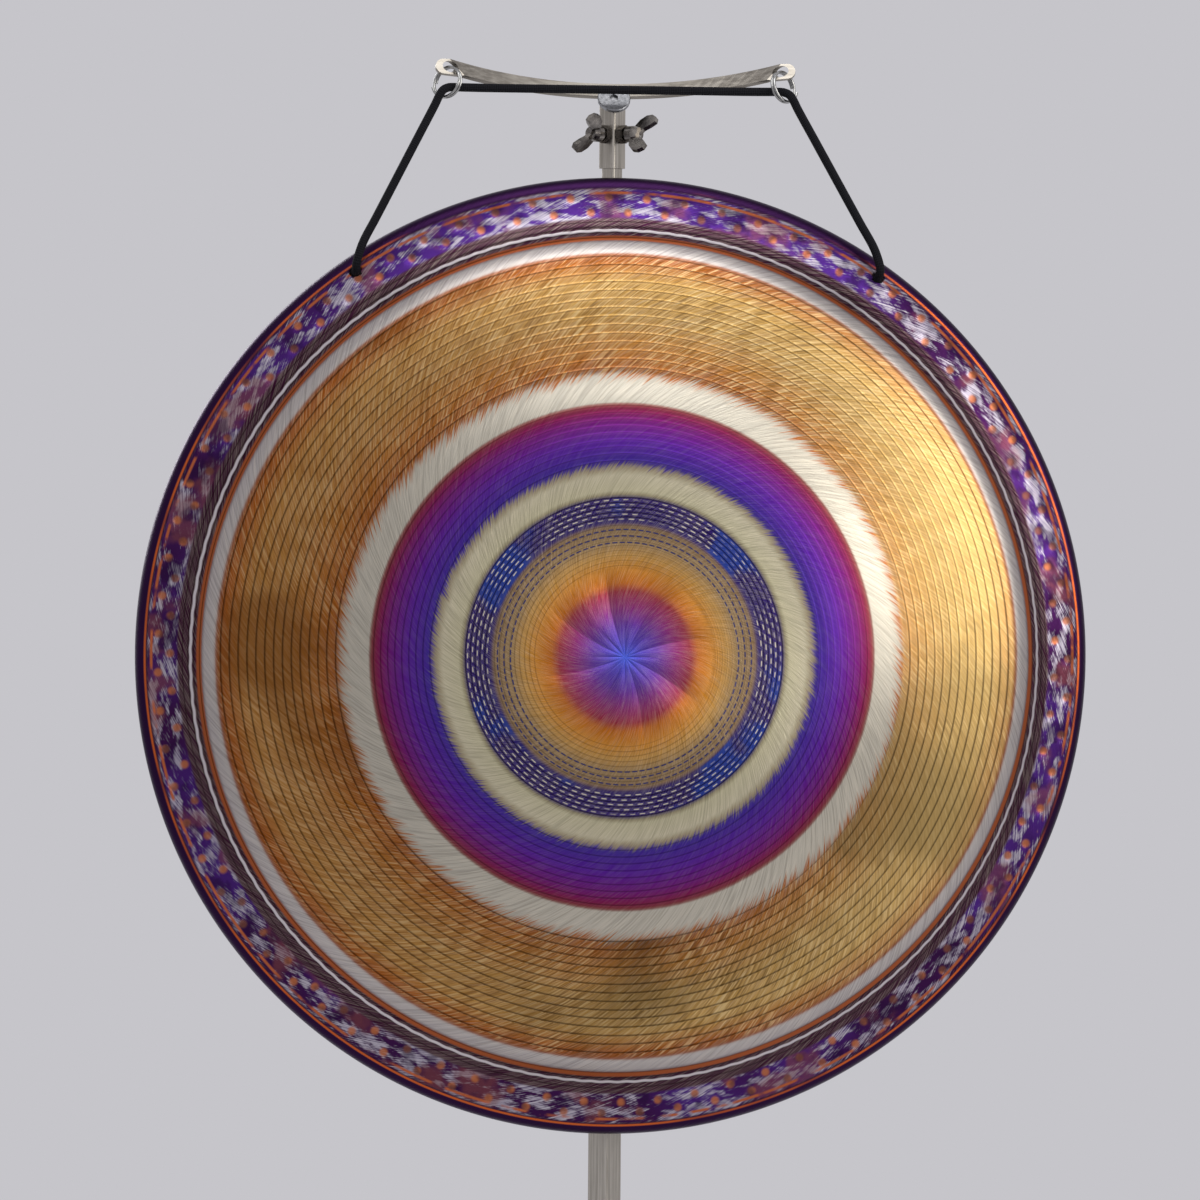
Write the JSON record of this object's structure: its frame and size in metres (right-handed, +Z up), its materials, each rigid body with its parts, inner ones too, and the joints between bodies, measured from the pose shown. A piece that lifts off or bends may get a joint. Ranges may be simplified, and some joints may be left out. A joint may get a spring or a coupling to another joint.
{
  "type": "gong",
  "caption": "Round bronze gong with turned-back rim, lathed and hammered heat-tinted face, hung by a black cord from a bowed bar on a telescopic square-tube stand",
  "frame": {"origin": "on the floor, on the mast's vertical axis", "axes": "+X to the right seen from the front, -Y to the player's side where the gong's face looks, +Z up"},
  "size_m": [0.5998, 0.4826, 1.3238],
  "materials": {
    "gong_bronze": "heat tinted, lathed and hammered",
    "cord_black": "woven",
    "stand_steel": "brushed",
    "ring_chrome": "polished",
    "screw_steel": "dark zinc",
    "foot_rubber": "matte",
    "cap_plastic": "matte"
  },
  "bodies": {
    "base": {"base_plate": "stand_steel", "base_hub": "stand_steel", "mast_lower_tube": "stand_steel", "base_nut": "screw_steel", "lower_nut": "screw_steel", "leg_1": "stand_steel", "leg_2": "stand_steel", "leg_3": "stand_steel", "leg_4": "stand_steel", "leg_cap_1": "cap_plastic", "leg_cap_2": "cap_plastic", "leg_cap_3": "cap_plastic", "leg_cap_4": "cap_plastic", "leg_bolt_1": "screw_steel", "leg_bolt_2": "screw_steel", "leg_bolt_3": "screw_steel", "leg_bolt_4": "screw_steel", "leg_nut_1": "screw_steel", "leg_nut_2": "screw_steel", "leg_nut_3": "screw_steel", "leg_nut_4": "screw_steel", "foot_1": "foot_rubber", "foot_2": "foot_rubber", "foot_3": "foot_rubber", "foot_4": "foot_rubber"},
    "middle_stage": {"mast_middle_tube": "stand_steel", "middle_nut": "screw_steel"},
    "upper_stage": {"mast_upper_tube": "stand_steel"},
    "head": {"head_sleeve": "stand_steel", "hanger_bar": "stand_steel", "hanger_bolt": "stand_steel", "head_left_nut": "screw_steel", "head_right_nut": "screw_steel"},
    "rings": {"split_ring_left": "ring_chrome", "split_ring_right": "ring_chrome"},
    "gong": {"gong_plate": "gong_bronze", "suspension_cord": "cord_black", "cord_knot_left": "cord_black", "cord_knot_right": "cord_black"},
    "base_screw": {"base_wing_screw": "screw_steel"},
    "lower_screw": {"lower_wing_screw": "screw_steel"},
    "middle_screw": {"middle_wing_screw": "screw_steel"},
    "head_left_screw": {"head_left_wing_screw": "screw_steel"},
    "head_right_screw": {"head_right_wing_screw": "screw_steel"}
  },
  "joints": [
    {"name": "middle_slide", "type": "slide", "parent": "base", "child": "middle_stage", "axis": [0, 0, 1], "range_m": [-0.22, 0.1]},
    {"name": "upper_slide", "type": "slide", "parent": "middle_stage", "child": "upper_stage", "axis": [0, 0, 1], "range_m": [-0.17, 0.15]},
    {"name": "head_slide", "type": "slide", "parent": "upper_stage", "child": "head", "axis": [0, 0, 1], "range_m": [0, 0.025]},
    {"name": "ring_hinge", "type": "hinge", "parent": "head", "child": "rings", "pos_m": [0, -0.01735, 1.31865], "axis": [-1, 0, 0], "range_deg": [0, 20]},
    {"name": "gong_hinge", "type": "hinge", "parent": "rings", "child": "gong", "pos_m": [0, -0.01896, 1.3057], "axis": [-1, 0, 0], "range_deg": [0, 20]},
    {"name": "base_screw_turn", "type": "hinge", "parent": "base", "child": "base_screw", "pos_m": [0, 0, 0.0793], "axis": [0.7071, 0.7071, 0], "range_deg": [0, 360]},
    {"name": "lower_screw_turn", "type": "hinge", "parent": "base", "child": "lower_screw", "pos_m": [0, 0, 0.788], "axis": [0.7071, 0.7071, 0], "range_deg": [0, 360]},
    {"name": "middle_screw_turn", "type": "hinge", "parent": "middle_stage", "child": "middle_screw", "pos_m": [0, 0, 1.058], "axis": [0.7071, 0.7071, 0], "range_deg": [0, 360]},
    {"name": "head_left_screw_turn", "type": "hinge", "parent": "head", "child": "head_left_screw", "pos_m": [0, 0, 1.2785], "axis": [-0.7071, -0.7071, 0], "range_deg": [0, 360]},
    {"name": "head_right_screw_turn", "type": "hinge", "parent": "head", "child": "head_right_screw", "pos_m": [0, 0, 1.2785], "axis": [0.7071, -0.7071, 0], "range_deg": [0, 360]}
  ]
}
